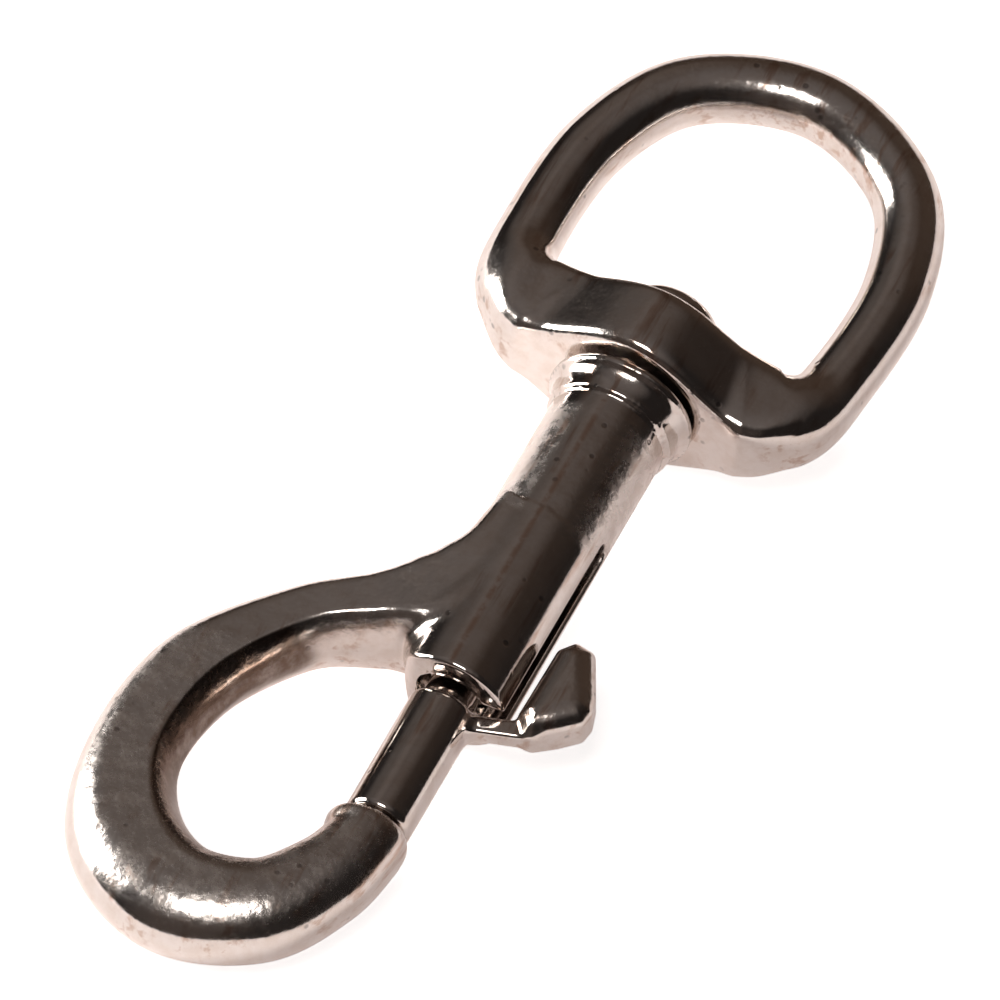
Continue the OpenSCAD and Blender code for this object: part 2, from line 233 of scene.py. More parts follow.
# How far round the nose its end is rounded over
NOSE_REACH, NOSE_SIDE = 3, 6


def barrel_outline():
    """Half outline of the barrel with its bead, flange, post and peened head."""
    bead = BEAD_X - BEAD_LEN
    return ([(MOUTH, 0)]
            + arc(MOUTH + RIM_EDGE, BARREL_R - RIM_EDGE, RIM_EDGE, RIM_EDGE, 180, 90, 4)
            + [(bead, BARREL_R), (bead + BEAD_LEN / 2, BEAD_R)]
            + arc(BEAD_X, FLANGE_R, FLARE_LEN, FLANGE_R - BEAD_R, -90, 0, 8)
            + arc(FLANGE_FACE - RIM_EDGE, FLANGE_R - RIM_EDGE, RIM_EDGE, RIM_EDGE, 90, 0, 4)
            + [(FLANGE_FACE, POST_R), (HEAD_FACE, POST_R), (HEAD_FACE, HEAD_R - RIM_EDGE),
               (HEAD_FACE + RIM_EDGE, HEAD_R)]
            + arc(HEAD_FACE + HEAD_RIM, 0, HEAD_CROWN, HEAD_R, 90, 0, 12))


def hook_arm_field(p):
    """The hook's arm up to its nose, whose end is rounded over."""
    arm = swept_field(p, HOOK_STATIONS)
    at_nose = (p[:, 0] > TIP_X - NOSE_REACH) & (p[:, 0] < NOSE_X + NOSE_REACH)
    at_nose &= p[:, 1] < NOSE_SIDE
    return np.where(at_nose, smooth_max(arm, p[:, 0] - NOSE_X, 2 * NOSE_EDGE), arm)


def hook_body_field(p):
    """The barrel and its arm, with the bore and the lever's slot cut out."""
    barrel = turned_field(p, barrel_outline())
    # The mouth is rounded over on the side where the hook's inner wall runs in
    start_y = BARREL_R - MOUTH_ROUND
    corner = np.hypot(p[:, 0] - MOUTH - MOUTH_ROUND, p[:, 1] - start_y) - MOUTH_ROUND
    at_corner = (p[:, 0] < MOUTH + MOUTH_ROUND) & (p[:, 1] > start_y)
    barrel = np.where(at_corner, smooth_max(barrel, corner, CUT_EDGE), barrel)
    at_root = np.clip((FILLET_END - p[:, 0]) / FILLET_FADE, 0, 1)
    at_root = at_root * np.clip(p[:, 1] / FILLET_RISE, 0, 1)
    fillet = WEB_FILLET + (HOOK_FILLET - WEB_FILLET) * at_root
    body = smooth_min(barrel, hook_arm_field(p), fillet)
    radius = np.hypot(p[:, 1], p[:, 2])
    bore = np.maximum(radius - BORE_R, np.maximum(p[:, 0] - BORE_END, BORE_START - p[:, 0]))
    body = smooth_max(body, -bore, CUT_EDGE)
    in_slot = np.maximum(p[:, 0] - (MOUTH + SLOT_LEN - SLOT_HALF), 0)
    slot = np.maximum(np.hypot(in_slot, p[:, 2]) - SLOT_HALF, p[:, 1])
    slot = np.maximum(slot, SLOT_START - p[:, 0])
    return smooth_max(body, -slot, CUT_EDGE)


# ---------------------------------------------------------- swivel eye
HALF_RING = [
    [FAR_X, 0, RING_R, RING_R, 2, 2, 0, 0],
    [FAR_X * 0.726, SIDE_Y * 0.668, RING_R, RING_R, 2, 2, 0, 0],
    [FAR_X * 0.124, SIDE_Y * 0.952, RING_R, RING_R, 2, 2, 0, 0],
    [-FAR_X * 0.61, SIDE_Y * 0.967, RING_R, RING_R, 2.1, 2, 0, 0],
    [BAR_REAR - 1.9, SIDE_Y * 0.875, RING_R + 0.4, RING_R + 0.25, 3, 2.2, 0, 0],
    [BAR_MIDDLE, SIDE_Y * 0.62, BAR_THICK / 2 - 0.1, RING_R - 0.1, 6, 6, 0, 0],
]
OTHER_HALF = [[x, -y, half, height, right, left, right_flat, left_flat]
              for x, y, half, height, left, right, left_flat, right_flat in HALF_RING[:0:-1]]
RING_STATIONS = OTHER_HALF + HALF_RING
BAR_END = SIDE_Y * 0.88
BAR_SQUARE, BAR_DROP, BAR_EXTRA = 8, 0.45, 0.4
# What the bar's ends lose against its middle, and how late along the bar they do so
END_TURN, END_TAPER, END_DROP, END_SOFTER, END_LATE = 0.9, 0.8, 0.3, 3, 8
END_ROUND = 1.6
HOLE_PAST = 2
BAR_FILLET = 2.4


def to_eye(p):
    """Points in the eye's own frame, before it turned and leaned in its swivel."""
    c, s = math.cos(EYE_TURN), math.sin(EYE_TURN)
    x, y, z = p[:, 0], p[:, 1] * c + p[:, 2] * s, -p[:, 1] * s + p[:, 2] * c
    c, s = math.cos(EYE_LEAN), math.sin(EYE_LEAN)
    dx = x - BAR_MIDDLE
    return np.stack([BAR_MIDDLE + dx * c - y * s, dx * s + y * c, z], 1)


def hump_height(y):
    """Height of the base bar's hump over the post."""
    rise = (1 + np.cos(2 * math.pi * np.clip(y / BOSS_WIDTH, -0.5, 0.5))) / 2
    return RING_R + (BOSS_HEIGHT - RING_R) * rise


def base_bar_field(q):
    """The bar across the axis, nearly square in section, with its hump and its ends."""
    fade = np.clip(np.abs(q[:, 1]) / BAR_END, 0, 1.1) ** END_LATE
    height = hump_height(q[:, 1]) + BAR_EXTRA * (1 - fade) - END_DROP * fade
    height = np.maximum(height, 1)
    out = np.abs(q[:, 0] - BAR_MIDDLE - END_TURN * fade)
    lift = q[:, 2] + BAR_DROP * (1 - fade)
    half = np.maximum(BAR_THICK / 2 - END_TAPER * fade, 1)
    squareness = BAR_SQUARE - END_SOFTER * np.minimum(fade, 1)
    bar = section_field(out, lift, half, height, squareness, LEAST_FLAT)
    return smooth_max(bar, np.abs(q[:, 1]) - BAR_END, END_ROUND)


def swivel_eye_field(p):
    """The ring and its base bar, with the hole true to the post."""
    q = to_eye(p)
    eye = smooth_min(swept_field(q, RING_STATIONS), base_bar_field(q), BAR_FILLET)
    hole = np.hypot(p[:, 1], p[:, 2]) - (POST_R + POST_CLEARANCE)
    hole = np.maximum(hole, p[:, 0] - BAR_REAR - HOLE_PAST)
    return smooth_max(eye, -hole, CUT_EDGE)


# --------------------------------------------------------- spring bolt
ARM_HALF_THICK, ARM_R, ARM_EDGE = 0.8, 0.9, 0.5
ARM_X, ARM_SWEEP = MOUTH - 1.9, 1.5
ARM_ROOT = (ARM_X, -BOLT_R / 2)
THUMB_Y = BARREL_R + 0.9
THUMB_LEN, THUMB_DEEP, THUMB_HALF = 9.8, 5.3, 2.3
ARM_TIP = (ARM_X + ARM_SWEEP, -THUMB_Y - THUMB_DEEP / 4)
THUMB_X = ARM_TIP[0] - 0.65
THUMB_SHARES = [(0, 0.22), (0.13, 0), (0.9, 0.03), (1, 0.2), (0.97, 0.48),
                (0.55, 0.9), (0.38, 1), (0.28, 0.97), (0.13, 0.62)]
THUMB_ROUND, THUMB_EDGE = 0.7, 1.3
# From this height on the thumb piece's sides draw in towards its flat faces
THUMB_UPRIGHT, THUMB_LEAN, THUMB_CURVE = 0.9, 0.55 / 1.4, 1.5
LEVER_FILLET, ROD_FILLET = 0.7, 0.8
BOLT_EDGE, BOLT_GAP = 0.6, 0.1


def rod_outline():
    """Half outline of the rod with its shoulder, waist and rear guide."""
    tip = NOSE_X + BOLT_GAP
    return ([(tip, 0)]
            + arc(tip + BOLT_EDGE, BOLT_R - BOLT_EDGE, BOLT_EDGE, BOLT_EDGE, 180, 90, 6)
            + arc(SHOULDER_X - BOLT_EDGE, BOLT_R - BOLT_EDGE, BOLT_EDGE, BOLT_EDGE, 90, 0, 6)
            + [(SHOULDER_X, WAIST_R), (GUIDE_START, WAIST_R),
               (GUIDE_START, BOLT_R - RIM_EDGE), (GUIDE_START + RIM_EDGE, BOLT_R),
               (GUIDE_END - RIM_EDGE, BOLT_R), (GUIDE_END, BOLT_R - RIM_EDGE), (GUIDE_END, 0)])


def lever_arm_field(p):
    """The flat arm that carries the thumb piece out through the slot."""
    ax, ay = ARM_ROOT
    dx, dy = ARM_TIP[0] - ax, ARM_TIP[1] - ay
    t = np.clip(((p[:, 0] - ax) * dx + (p[:, 1] - ay) * dy) / (dx * dx + dy * dy), 0, 1)
    across = np.hypot(p[:, 0] - ax - dx * t, p[:, 1] - ay - dy * t) - ARM_R
    return smooth_max(across, np.abs(p[:, 2]) - ARM_HALF_THICK, ARM_EDGE)


def thumb_field(p):
    """The kite-shaped thumb piece."""
    outline = np.array([(THUMB_X + along * THUMB_LEN, -THUMB_Y - deep * THUMB_DEEP)
                        for along, deep in THUMB_SHARES])
    middle = (outline.min(0) + outline.max(0)) / 2
    shrink = 1 - 2 * THUMB_ROUND / np.array([THUMB_LEN, THUMB_DEEP])
    sides = polygon_field(p[:, 0], p[:, 1], middle + (outline - middle) * shrink) - THUMB_ROUND
    lean = THUMB_LEAN * np.maximum(np.abs(p[:, 2]) - THUMB_UPRIGHT, 0) ** THUMB_CURVE
    return smooth_max(sides + lean, np.abs(p[:, 2]) - THUMB_HALF, THUMB_EDGE)


def spring_bolt_field(p):
    """The rod with its lever arm and thumb piece."""
    lever = smooth_min(lever_arm_field(p), thumb_field(p), LEVER_FILLET)
    return smooth_min(turned_field(p, rod_outline()), lever, ROD_FILLET)


# ------------------------------------------------------------- meshing
SLOPE_REACH = 0.02
LEAST_SLOPE_SQUARED = 0.2
LONGEST_MOVE = 0.15
# The grid is filled in steps this many cells wide, and finely only near the surface
COARSE, NEAR = 4, 2.6
FIRST_ROUNDS, SPREAD_ROUNDS, LAST_ROUNDS = 3, 2, 2
BOX_MARGIN = 0.6


def field_gradient(field, p):
    """Slope of a field at points, from four samples round each."""
    corners = np.array([[1, -1, -1], [-1, -1, 1], [-1, 1, -1], [1, 1, 1]], float)
    total = np.zeros_like(p)
    for c in corners:
        total += c * field(p + c * SLOPE_REACH)[:, None]
    return total / (4 * SLOPE_REACH)


def onto_surface(field, p, rounds):
    """The points drawn onto the surface where the field is zero."""
    for _ in range(rounds):
        g = field_gradient(field, p)
        steepness = np.maximum((g * g).sum(1), LEAST_SLOPE_SQUARED)[:, None]
        move = field(p)[:, None] * g / steepness
        length = np.linalg.norm(move, axis=1)[:, None]
        p = p - move * np.minimum(1, LONGEST_MOVE / np.maximum(length, 1e-9))
    return p


def edge_ends(values, axis):
    """The values at the near and the far end of every grid edge along an axis."""
    near, far = [slice(None)] * 3, [slice(None)] * 3
    near[axis], far[axis] = slice(None, -1), slice(1, None)
    return values[tuple(near)], values[tuple(far)]


def grid_values(field, low, count, cell):
    """The field at a grid's corners: exact near the surface and rough elsewhere."""
    rough_cell = cell * COARSE
    rough_count = count // COARSE + 2
    axes = [low[a] + rough_cell * np.arange(rough_count[a]) for a in range(3)]
    rough_points = np.stack(np.meshgrid(*axes, indexing="ij"), -1).reshape(-1, 3)
    values = field(rough_points).reshape(rough_count)
    for axis in range(3):
        values = np.repeat(values, COARSE, axis)
    values = values[:count[0], :count[1], :count[2]].copy()
    near = np.abs(values) < rough_cell * NEAR
    values[near] = field(low + np.argwhere(near) * cell)
    return values


def crossed_cells(values):
    """The grid cells that the surface crosses: for each the middle of its crossings,
    counted in cells, and over the whole grid the number of each, or -1."""
    cells = np.array(values.shape) - 1
    crossings = np.zeros((*cells, 3), np.float32)
    hits = np.zeros(cells, np.float32)
    for axis in range(3):
        others = [a for a in range(3) if a != axis]
        a, b = edge_ends(values, axis)
        cut = (a < 0) != (b < 0)
        share = np.where(cut, a / np.where(cut, a - b, 1), 0)
        for i in (0, 1):
            for j in (0, 1):
                part = [slice(None)] * 3
                part[others[0]] = slice(i, i + cells[others[0]])
                part[others[1]] = slice(j, j + cells[others[1]])
                c, s = cut[tuple(part)], share[tuple(part)]
                hits += c
                crossings[..., axis] += c * s
                crossings[..., others[0]] += c * i
                crossings[..., others[1]] += c * j
    active = hits > 0
    number = np.full(cells, -1, np.int64)
    number[active] = np.arange(active.sum())
    return np.argwhere(active) + crossings[active] / hits[active][:, None], number


def surface_quads(inside, number):
    """A quad round every grid edge that the surface crosses, turned to face outward."""
    last = np.array(inside.shape) - 1
    quads = []
    for axis in range(3):
        b, c = (axis + 1) % 3, (axis + 2) % 3
        near, far = edge_ends(inside, axis)
        at = np.argwhere(near != far)
        at = at[(at[:, b] > 0) & (at[:, c] > 0) & (at[:, b] < last[b]) & (at[:, c] < last[c])]
        back_b, back_c = np.zeros(3, int), np.zeros(3, int)
        back_b[b], back_c[c] = 1, 1
        round_edge = (at - back_b - back_c, at - back_c, at, at - back_b)
        quad = np.stack([number[tuple(cell.T)] for cell in round_edge], 1)
        inward = ~inside[tuple(at.T)]
        quad[inward] = quad[inward][:, ::-1]
        quads.append(quad)
    return np.concatenate(quads)


def spread_evenly(field, points, faces):
    """The points moved towards the middle of their neighbours, along the surface."""
    pairs = np.concatenate([faces[:, [i, (i + 1) % 4]] for i in range(4)])
    for _ in range(SPREAD_ROUNDS):
        total, links = np.zeros_like(points), np.zeros(len(points))
        for a, b in ((0, 1), (1, 0)):
            np.add.at(total, pairs[:, a], points[pairs[:, b]])
            np.add.at(links, pairs[:, a], 1)
        points = points + 0.5 * (total / links[:, None] - points)
        points = onto_surface(field, points, LAST_ROUNDS)
    return points


def mesh_object(name, points, faces):
    """A smooth-shaded mesh object from points in millimetres."""
    mesh = bpy.data.meshes.new(name)
    mesh.from_pydata((points * MM).tolist(), [], faces)
    mesh.update()
    mesh.polygons.foreach_set("use_smooth", [True] * len(mesh.polygons))
    piece = bpy.data.objects.new(name, mesh)
    bpy.context.scene.collection.objects.link(piece)
    return piece


def mesh_of_field(name, node, field, cell):
    """A closed quad mesh on the surface where the field is zero: a vertex in every
    grid cell that the surface crosses, drawn onto the surface itself."""
    low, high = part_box(node)
    low = np.array([v / MM - BOX_MARGIN for v in low])
    high = np.array([v / MM + BOX_MARGIN for v in high])
    count = np.ceil((high - low) / cell).astype(int) + 1
    values = grid_values(field, low, count, cell)
    places, number = crossed_cells(values)
    faces = surface_quads(values < 0, number)
    points = onto_surface(field, low + cell * places, FIRST_ROUNDS)
    return mesh_object(name, spread_evenly(field, points, faces), faces.tolist())


WIRE_SIDES, STEPS_PER_TURN = 12, 40
WIRE_GAP = 0.05


def spring_coil():
    """The spring's wire as a tube along its helix, with a closed turn at each end."""
    start, end = GUIDE_END + WIRE_GAP + WIRE_R, BORE_END - WIRE_GAP - WIRE_R
    closed_pitch = 2 * WIRE_R + WIRE_GAP
    open_pitch = (end - start - 2 * closed_pitch) / SPRING_TURNS
    turns = np.arange(STEPS_PER_TURN * (SPRING_TURNS + 2) + 1) / STEPS_PER_TURN
    closed = np.minimum(turns, 1) + np.maximum(turns - SPRING_TURNS - 1, 0)
    x = start + closed_pitch * closed + open_pitch * np.clip(turns - 1, 0, SPRING_TURNS)
    a = 2 * math.pi * turns[:, None]
    b = 2 * math.pi * np.arange(WIRE_SIDES)[None, :] / WIRE_SIDES
    r = COIL_R + WIRE_R * np.cos(b)
    rings = np.stack([x[:, None] - WIRE_R * np.sin(b), r * np.cos(a), r * np.sin(a)], -1)
    i, k = np.meshgrid(np.arange(len(turns) - 1), np.arange(WIRE_SIDES), indexing="ij")
    here, there = i * WIRE_SIDES, (i + 1) * WIRE_SIDES
    k2 = (k + 1) % WIRE_SIDES
    walls = np.stack([here + k, there + k, there + k2, here + k2], -1).reshape(-1, 4)
    ring = range(WIRE_SIDES)
    last_ring = range(len(turns) * WIRE_SIDES - 1, (len(turns) - 1) * WIRE_SIDES - 1, -1)
    faces = walls.tolist() + [list(ring), list(last_ring)]
    return mesh_object("spring_coil", rings.reshape(-1, 3), faces)


hook_body = mesh_of_field("hook_casting", "hook_body", hook_body_field, 0.25)
swivel_eye = mesh_of_field("eye_casting", "swivel_eye", swivel_eye_field, 0.22)
spring_bolt = mesh_of_field("bolt_casting", "spring_bolt", spring_bolt_field, 0.14)
spring = spring_coil()


# ---------------------------------------------------------- node trees
class Tree:
    """A node tree with short calls for the nodes that metals and stage share."""

    def __init__(self, tree):
        self.nodes, self.links = tree.nodes, tree.links

    def feed(self, socket, value):
        if isinstance(value, bpy.types.NodeSocket):
            self.links.new(value, socket)
        else:
            socket.default_value = value

    def math(self, operation, a, b):
        node = self.nodes.new("ShaderNodeMath")
        node.operation = operation
        self.feed(node.inputs[0], a)
        self.feed(node.inputs[1], b)
        return node.outputs[0]

    def vector(self, operation, a, b=None):
        """Vector maths of a and b, where b is a number for SCALE and none for NORMALIZE."""
        node = self.nodes.new("ShaderNodeVectorMath")
        node.operation = operation
        self.feed(node.inputs[0], a)
        if b is not None:
            self.feed(node.inputs["Scale" if operation == "SCALE" else 1], b)
        return node.outputs["Value" if operation == "DOT_PRODUCT" else "Vector"]

    def step(self, value, low, high, to_low=0.0, to_high=1.0):
        """Smooth step of a value from low to high."""
        node = self.nodes.new("ShaderNodeMapRange")
        node.interpolation_type = "SMOOTHSTEP"
        self.feed(node.inputs["Value"], value)
        node.inputs["From Min"].default_value, node.inputs["From Max"].default_value = low, high
        node.inputs["To Min"].default_value, node.inputs["To Max"].default_value = to_low, to_high
        return node.outputs["Result"]


class Sheet(Tree):
    """A new material's node tree, with its textures placed on the piece itself."""

    def __init__(self, name):
        self.material = bpy.data.materials.new(name)
        self.material.use_nodes = True
        super().__init__(self.material.node_tree)
        self.shader = self.nodes["Principled BSDF"]
        coordinates = self.nodes.new("ShaderNodeTexCoord").outputs
        self.place, self.outward = coordinates["Object"], coordinates["Normal"]

    def noise(self, scale, detail, rough=0.55, place=None):
        node = self.nodes.new("ShaderNodeTexNoise")
        self.feed(node.inputs["Vector"], place or self.place)
        node.inputs["Scale"].default_value = scale
        node.inputs["Detail"].default_value = detail
        node.inputs["Roughness"].default_value = rough
        return node.outputs["Fac"]

    def cells(self, scale):
        node = self.nodes.new("ShaderNodeTexVoronoi")
        self.feed(node.inputs["Vector"], self.place)
        node.inputs["Scale"].default_value = scale
        return node.outputs["Distance"]

    def centred(self, noise):
        """Noise moved to lie round zero, so that its strength can change unseen."""
        return self.math("SUBTRACT", noise, 0.5)

    def stretched(self, along, across):
        """Place with its X axis drawn out, for streaks along the casting."""
        node = self.nodes.new("ShaderNodeMapping")
        self.feed(node.inputs["Vector"], self.place)
        node.inputs["Scale"].default_value = (along, across, across)
        return node.outputs["Vector"]

    def blend(self, share, a, b):
        """Colour between a and b."""
        node = self.nodes.new("ShaderNodeMix")
        node.data_type = "RGBA"
        self.feed(node.inputs["Factor"], share)
        colours = [i for i in node.inputs if i.type == "RGBA"]
        for socket, colour in zip(colours, (a, b)):
            self.feed(socket, colour if isinstance(colour, bpy.types.NodeSocket) else (*colour, 1))
        return next(o for o in node.outputs if o.type == "RGBA")

    def zone(self, strength, soft, **spans):
        """A mask of a strength inside the given spans of X, Y and Z, in millimetres."""
        split = self.nodes.new("ShaderNodeSeparateXYZ")
        self.feed(split.inputs[0], self.place)
        mask = strength
        for axis, (low, high) in spans.items():
            value = split.outputs[axis]
            rise = self.step(value, (low - soft) * MM, (low + soft) * MM)
            fall = self.step(value, (high - soft) * MM, (high + soft) * MM, 1.0, 0.0)
            mask = self.math("MULTIPLY", mask, self.math("MULTIPLY", rise, fall))
        return mask

    def facing(self, centre, soft, **spans):
        """A mask of the walls that face an upright line through centre, inside the spans."""
        toward = self.vector("SUBTRACT", [c * MM for c in centre], self.place)
        level = self.vector("NORMALIZE", self.vector("MULTIPLY", toward, (1, 1, 0)))
        wall = self.step(self.vector("DOT_PRODUCT", level, self.outward), *FACING)
        return self.math("MULTIPLY", wall, self.zone(1.0, soft, **spans))

    def bump(self, height, distance):
        node = self.nodes.new("ShaderNodeBump")
        node.inputs["Distance"].default_value = distance * MM
        self.feed(node.inputs["Height"], height)
        self.feed(self.shader.inputs["Normal"], node.outputs["Normal"])


# ----------------------------------------------------------- materials
NICKEL = (0.74, 0.70, 0.67)
THIN_NICKEL = (0.64, 0.56, 0.50)
COPPER_SHOW = (0.42, 0.24, 0.15)
# Dark brown of the painted shade on the hook's inner walls
INNER_WALL_SHADE = (0.17, 0.125, 0.10)
GRIME = (0.16, 0.13, 0.12)
WIRE_PALE, WIRE_DARK = (0.42, 0.41, 0.40), (0.24, 0.22, 0.20)
POLISHED, MATTE = 0.09, 0.34

# Noises of the plating: scale per metre, detail and roughness
PATCHES = (130, 3)
MOTTLE = (650, 6, 0.65)
GRAIN = (3600, 3, 0.6)
STREAKS = (1.0, 5, 0.6)
STREAK_SCALES = (90, 900)
PIT_CELLS = 620
PIT_GROUPS = (240, 2)
WAVES = (190, 2)
DENTS = (310, 3)

# Where each kind of wear sets in: from and to in its noise, and from and to in strength
# FACING sets which walls take the painted shade inside the hook
FACING = (0.3, 0.62)
PATCHY_DULL = (0.60, 0.78, 0.0, 0.5)
MOTTLED_DULL = (0.30, 0.62, 0.45, 1.0)
IN_PIT = (0.10, 0.20, 1.0, 0.0)
IN_PIT_GROUP = (0.50, 0.62, 0.0, 0.6)
IN_STREAK = (0.50, 0.66, 0.0, 0.6)
IN_COPPER_PATCH = (0.44, 0.58)
SEAM_BREAKS = (0.38, 0.55, 0.3, 1.0)
THIN_PLATING = (0.35, 0.7, 0.0, 0.55)
# Breaks in the painted shade on the hook's inner walls
SHADE_BREAKS = (0.25, 0.6, 0.75, 1.0)
GRAIN_ROUGHNESS = (0.45, 0.75, 0.0, 0.06)
WIRE_ROUGHNESS = (0.3, 0.7, 0.22, 0.45)

# Relief: the bump's depth in millimetres and what shares it, polished and added when dull
RELIEF, WIRE_RELIEF = 0.1, 0.02
WAVE_SHARE, DENT_SHARE, PIT_DEPTH = 0.35, 2.8, 0.25
RIPPLE_SHARE = (0.05, 0.3)
SPECKLE_SHARE = (0.03, 0.1)


def dull_share(s, patches, mottle, zones):
    """How dull the plating is: in soft patches, and where the casting's skin shows."""
    dull = s.step(patches, *PATCHY_DULL)
    for strength, soft, spans in zones:
        dull = s.math("MAXIMUM", dull, s.zone(strength, soft, **spans))
    return s.math("MULTIPLY", dull, s.step(mottle, *MOTTLED_DULL))


def copper_share(s, patches, mottle, seams):
    """How much copper shows: in streaks along the casting, and on the mould's seams."""
    streaks = s.noise(*STREAKS, s.stretched(*STREAK_SCALES))
    copper = s.math("MULTIPLY", s.step(streaks, *IN_STREAK), s.step(patches, *IN_COPPER_PATCH))
    for strength, soft, spans in seams:
        seam = s.math("MULTIPLY", s.zone(strength, soft, **spans), s.step(mottle, *SEAM_BREAKS))
        copper = s.math("MAXIMUM", copper, seam)
    return copper


def relief_height(s, dull, mottle, grain, pits):
    """Slow waves everywhere, and dents, ripples and speckles that grow where it is dull."""
    waves = s.math("MULTIPLY", s.noise(*WAVES), WAVE_SHARE)
    dents = s.math("MULTIPLY", s.centred(s.noise(*DENTS)), s.math("MULTIPLY", dull, DENT_SHARE))
    height = s.math("ADD", waves, dents)
    for noise, (polished, added) in ((mottle, RIPPLE_SHARE), (grain, SPECKLE_SHARE)):
        share = s.math("ADD", polished, s.math("MULTIPLY", dull, added))
        height = s.math("ADD", height, s.math("MULTIPLY", s.centred(noise), share))
    return s.math("SUBTRACT", height, s.math("MULTIPLY", pits, PIT_DEPTH))


def plating(name, zones, seams=(), painted_shade=None):
    """Nickel plating on zinc: polished where it was tumbled smooth, dull and speckled
    over the zones where the casting's skin shows, with pits and coppery thin spots, and, when
    given, painted shade in dark brown on the walls that face a centre."""
    s = Sheet(name)
    patches, mottle, grain = s.noise(*PATCHES), s.noise(*MOTTLE), s.noise(*GRAIN)
    dull = dull_share(s, patches, mottle, zones)
    pits = s.step(s.cells(PIT_CELLS), *IN_PIT)
    pits = s.math("MULTIPLY", pits, s.step(s.noise(*PIT_GROUPS), *IN_PIT_GROUP))
    colour = s.blend(s.step(mottle, *THIN_PLATING), NICKEL, THIN_NICKEL)
    colour = s.blend(copper_share(s, patches, mottle, seams), colour, COPPER_SHOW)
    # Painted shade: the walls that face the hook's opening are darkened towards dark brown, broken
    # up by the mottle
    if painted_shade:
        centre, soft, spans = painted_shade
        inner_shade = s.math("MULTIPLY", s.facing(centre, soft, **spans), s.step(mottle, *SHADE_BREAKS))
        colour = s.blend(inner_shade, colour, INNER_WALL_SHADE)
    s.feed(s.shader.inputs["Base Color"], s.blend(pits, colour, GRIME))
    s.shader.inputs["Metallic"].default_value = 1.0
    rough = s.math("ADD", POLISHED, s.math("MULTIPLY", dull, MATTE - POLISHED))
    rough = s.math("ADD", rough, s.step(grain, *GRAIN_ROUGHNESS))
    s.feed(s.shader.inputs["Roughness"], rough)
    s.bump(relief_height(s, dull, mottle, grain, pits), RELIEF)
    return s.material


def spring_wire(name):
    """Drawn steel wire, oiled dark."""
    s = Sheet(name)
    streaks = s.noise(900, 4)
    s.feed(s.shader.inputs["Base Color"], s.blend(streaks, WIRE_PALE, WIRE_DARK))
    s.shader.inputs["Metallic"].default_value = 1.0
    s.feed(s.shader.inputs["Roughness"], s.step(streaks, *WIRE_ROUGHNESS))
    s.bump(streaks, WIRE_RELIEF)
    return s.material


# Dull zones: how dull, softness of the edge, and spans in millimetres
WORN_BARREL = (MOUTH + 16.4, BEAD_X - 1.8)
BODY_ZONES = [
    (0.8, 1.0, {"X": (-95, MOUTH - 3), "Z": (2.2, 8)}),
    (0.45, 2, {"X": (MOUTH - 3, MOUTH + 17), "Y": (3, 30)}),
    (0.9, 0.5, {"X": WORN_BARREL, "Y": (1.2, 8)}),
    (0.3, 0.5, {"X": WORN_BARREL, "Y": (-8, 1.5)}),
    (0.8, 0.6, {"X": WORN_BARREL, "Y": (-8, -2.6)}),
]
BODY_SEAMS = [(0.6, 0.2, {"X": (MOUTH, BEAD_X - 1), "Y": (-0.35, 0.1), "Z": (2, 6)})]
# Painted shade inside the hook, darkening the walls that face its opening: the middle of its
# opening, softness of the edge, and spans
HOOK_INSIDE_SHADE = ((MOUTH - 9, 3, 0), 0.8, {"X": (-100, MOUTH - 0.3), "Z": (-1.6, 6)})
EYE_ZONES = [
    (0.35, 1.5, {"X": (BAR_FRONT - 2, BAR_REAR), "Y": (0, 30)}),
    (0.3, 3, {"X": (6, 30), "Y": (-12, 12)}),
]
BOLT_ZONES = [(0.3, 0.5, {"Y": (-14, -THUMB_Y + 0.5)})]
DRESSING = [
    (hook_body, "body", "hook_body", "body_plating",
     # The body's plating also carries the painted shade inside the hook
     plating("worn_nickel_and_painted_shade_body", BODY_ZONES, BODY_SEAMS, HOOK_INSIDE_SHADE)),
    (swivel_eye, "eye", "swivel_eye", "eye_plating", plating("worn_nickel_eye", EYE_ZONES)),
    (spring_bolt, "bolt", "spring_bolt", "bolt_plating", plating("worn_nickel_bolt", BOLT_ZONES)),
    (spring, "body", "spring", "spring_wire", spring_wire("oiled_wire")),
]
for piece, body, node, slot, material in DRESSING:
    piece.data.materials.append(material)
    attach(piece, body)
    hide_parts(node)
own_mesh(spring)


# -------------------------------------------------------------- camera
def direction(azimuth, elevation):
    """Unit vector towards a place round the snap, given in degrees."""
    a, e = math.radians(azimuth), math.radians(elevation)
    return Vector((math.sin(a) * math.cos(e), -math.cos(a) * math.cos(e), math.sin(e)))


AZIMUTH, ELEVATION = 294.78, 51.52
PIXELS_PER_MM = 12.683
PICTURE = 1000
SENSOR = 36
# Far enough for little perspective, and near enough that a view from any other side,
# which cuts off at 100 times the snap's radius, still reaches the snap
DISTANCE = 3.5
NEAR_CLIP, FAR_CLIP = 0.5, 60
# Where the barrel's mouth lies in the picture, in pixels from its centre
MOUTH_RIGHT, MOUTH_UP = 448.1 - PICTURE / 2, PICTURE / 2 - 702.3
back = direction(AZIMUTH, ELEVATION)
right = Vector((0, 0, 1)).cross(back).normalized()
up = back.cross(right)
to_centre = right * (MOUTH_RIGHT / PIXELS_PER_MM) + up * (MOUTH_UP / PIXELS_PER_MM)
aim = (Vector((MOUTH, 0, 0)) - to_centre) * MM
scene = bpy.context.scene
camera = bpy.data.objects.new("camera", bpy.data.cameras.new("camera"))
scene.collection.objects.link(camera)
camera.location = aim + back * DISTANCE
camera.rotation_euler = back.to_track_quat("Z", "Y").to_euler()
camera.data.sensor_width = SENSOR
camera.data.lens = SENSOR * PIXELS_PER_MM * DISTANCE / MM / PICTURE
camera.data.clip_start, camera.data.clip_end = NEAR_CLIP, FAR_CLIP
scene.camera = camera
scene.view_settings.view_transform = "Standard"


